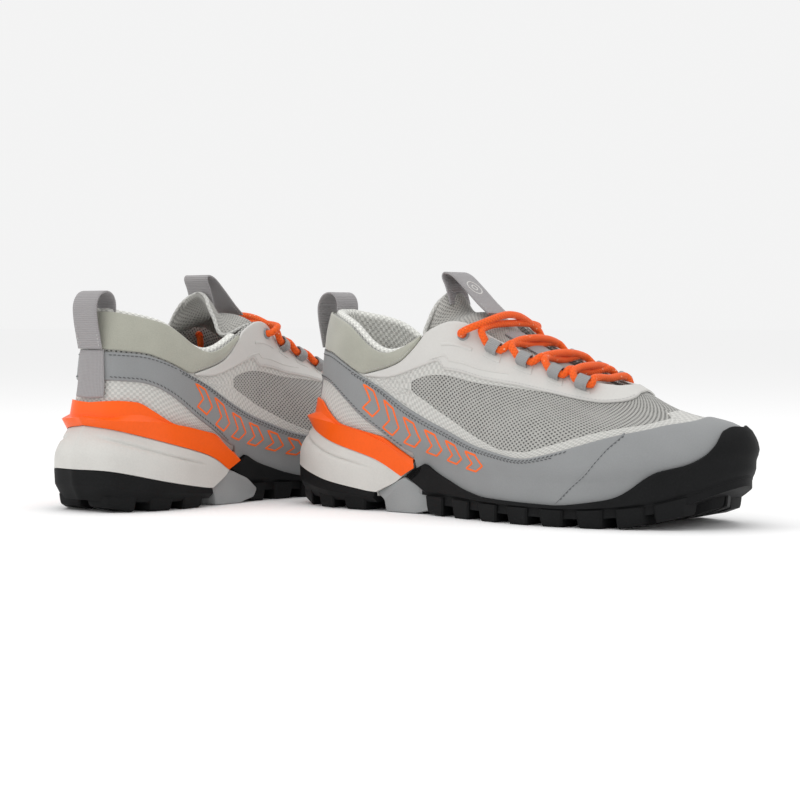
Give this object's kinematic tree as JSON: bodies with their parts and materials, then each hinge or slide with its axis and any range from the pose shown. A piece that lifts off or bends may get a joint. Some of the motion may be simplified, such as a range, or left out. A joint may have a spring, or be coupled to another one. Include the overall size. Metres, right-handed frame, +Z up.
{
  "type": "hiking shoes",
  "caption": "Pair of low-cut hiking shoes with lugged rubber soles, foam midsoles, plastic heel clips, laced mesh uppers, padded collars and webbing pull tabs, set at a right angle.",
  "frame": {"origin": "centre of the pair's bounding box, at the floor the soles stand on", "axes": "+X heel to toe of the right shoe, +Y heel to toe of the left shoe, +Z up; the shoes' soles stand in the XY plane"},
  "size_m": [0.4179, 0.3092, 0.1373],
  "materials": {
    "rubber_black": "matt",
    "foam_white": "matt",
    "tpu_orange": "satin",
    "shank_grey": "matt",
    "board_cream": "matt",
    "footbed_grey": "matt knit",
    "mesh_grey": "open mesh",
    "microfibre_grey": "matt microfibre",
    "overlay_white": "satin film",
    "suede_beige": "suede",
    "knit_white": "knit",
    "webbing_grey": "woven",
    "eyelet_grey": "satin",
    "cord_orange": "braided",
    "plastic_clear": "glossy"
  },
  "bodies": {
    "right_shoe": {"right_heel_outsole": "rubber_black", "right_forefoot_outsole": "rubber_black", "right_shank_bridge": "shank_grey", "right_heel_midsole": "foam_white", "right_forefoot_midsole": "foam_white", "right_heel_clip": "tpu_orange", "right_lasting_board": "board_cream", "right_footbed": "footbed_grey", "right_upper": "mesh_grey", "right_rand": "microfibre_grey", "right_eyestay": "overlay_white", "right_collar_panel": "suede_beige", "right_collar_lining": "knit_white", "right_heel_counter": "board_cream", "right_toe_puff": "board_cream", "right_backstay": "webbing_grey", "right_lace_loops_lateral": "webbing_grey", "right_lace_loops_medial": "webbing_grey", "right_eyelet_lateral": "eyelet_grey", "right_eyelet_medial": "eyelet_grey", "right_lace": "cord_orange", "right_aglet_lateral": "plastic_clear", "right_aglet_medial": "plastic_clear"},
    "right_tongue": {"right_tongue": "mesh_grey", "right_tongue_keeper": "webbing_grey"},
    "right_tongue_tab": {"right_tongue_loop": "webbing_grey"},
    "right_heel_tab": {"right_heel_loop": "webbing_grey"},
    "left_shoe": {"left_heel_outsole": "rubber_black", "left_forefoot_outsole": "rubber_black", "left_shank_bridge": "shank_grey", "left_heel_midsole": "foam_white", "left_forefoot_midsole": "foam_white", "left_heel_clip": "tpu_orange", "left_lasting_board": "board_cream", "left_footbed": "footbed_grey", "left_upper": "mesh_grey", "left_rand": "microfibre_grey", "left_eyestay": "overlay_white", "left_collar_panel": "suede_beige", "left_collar_lining": "knit_white", "left_heel_counter": "board_cream", "left_toe_puff": "board_cream", "left_backstay": "webbing_grey", "left_lace_loops_lateral": "webbing_grey", "left_lace_loops_medial": "webbing_grey", "left_eyelet_lateral": "eyelet_grey", "left_eyelet_medial": "eyelet_grey", "left_lace": "cord_orange", "left_aglet_lateral": "plastic_clear", "left_aglet_medial": "plastic_clear"},
    "left_tongue": {"left_tongue": "mesh_grey", "left_tongue_keeper": "webbing_grey"},
    "left_tongue_tab": {"left_tongue_loop": "webbing_grey"},
    "left_heel_tab": {"left_heel_loop": "webbing_grey"}
  },
  "joints": [
    {"name": "left_shoe_lift", "type": "slide", "parent": "right_shoe", "child": "left_shoe", "axis": [0, 0, 1], "range_m": [0, 0.2]},
    {"name": "right_tongue_hinge", "type": "hinge", "parent": "right_shoe", "child": "right_tongue", "pos_m": [0.1302, 0.0015, 0.07], "axis": [0, 1, 0], "range_deg": [-8, 0], "stiffness_Nm_per_rad": 0.1},
    {"name": "right_tongue_tab_flex", "type": "hinge", "parent": "right_tongue", "child": "right_tongue_tab", "pos_m": [0.0152, -0.002, 0.126], "axis": [0, 1, 0], "range_deg": [-20, 10], "stiffness_Nm_per_rad": 0.02},
    {"name": "right_heel_tab_flex", "type": "hinge", "parent": "right_shoe", "child": "right_heel_tab", "pos_m": [-0.0808, 0.0025, 0.096], "axis": [0, 1, 0], "range_deg": [-20, 3], "stiffness_Nm_per_rad": 0.02},
    {"name": "left_tongue_hinge", "type": "hinge", "parent": "left_shoe", "child": "left_tongue", "pos_m": [-0.1546, 0.0759, 0.07], "axis": [1, 0, 0], "range_deg": [0, 8], "stiffness_Nm_per_rad": 0.1},
    {"name": "left_tongue_tab_flex", "type": "hinge", "parent": "left_tongue", "child": "left_tongue_tab", "pos_m": [-0.1581, -0.0391, 0.126], "axis": [1, 0, 0], "range_deg": [-10, 20], "stiffness_Nm_per_rad": 0.02},
    {"name": "left_heel_tab_flex", "type": "hinge", "parent": "left_shoe", "child": "left_heel_tab", "pos_m": [-0.1536, -0.1351, 0.096], "axis": [1, 0, 0], "range_deg": [-3, 20], "stiffness_Nm_per_rad": 0.02}
  ]
}
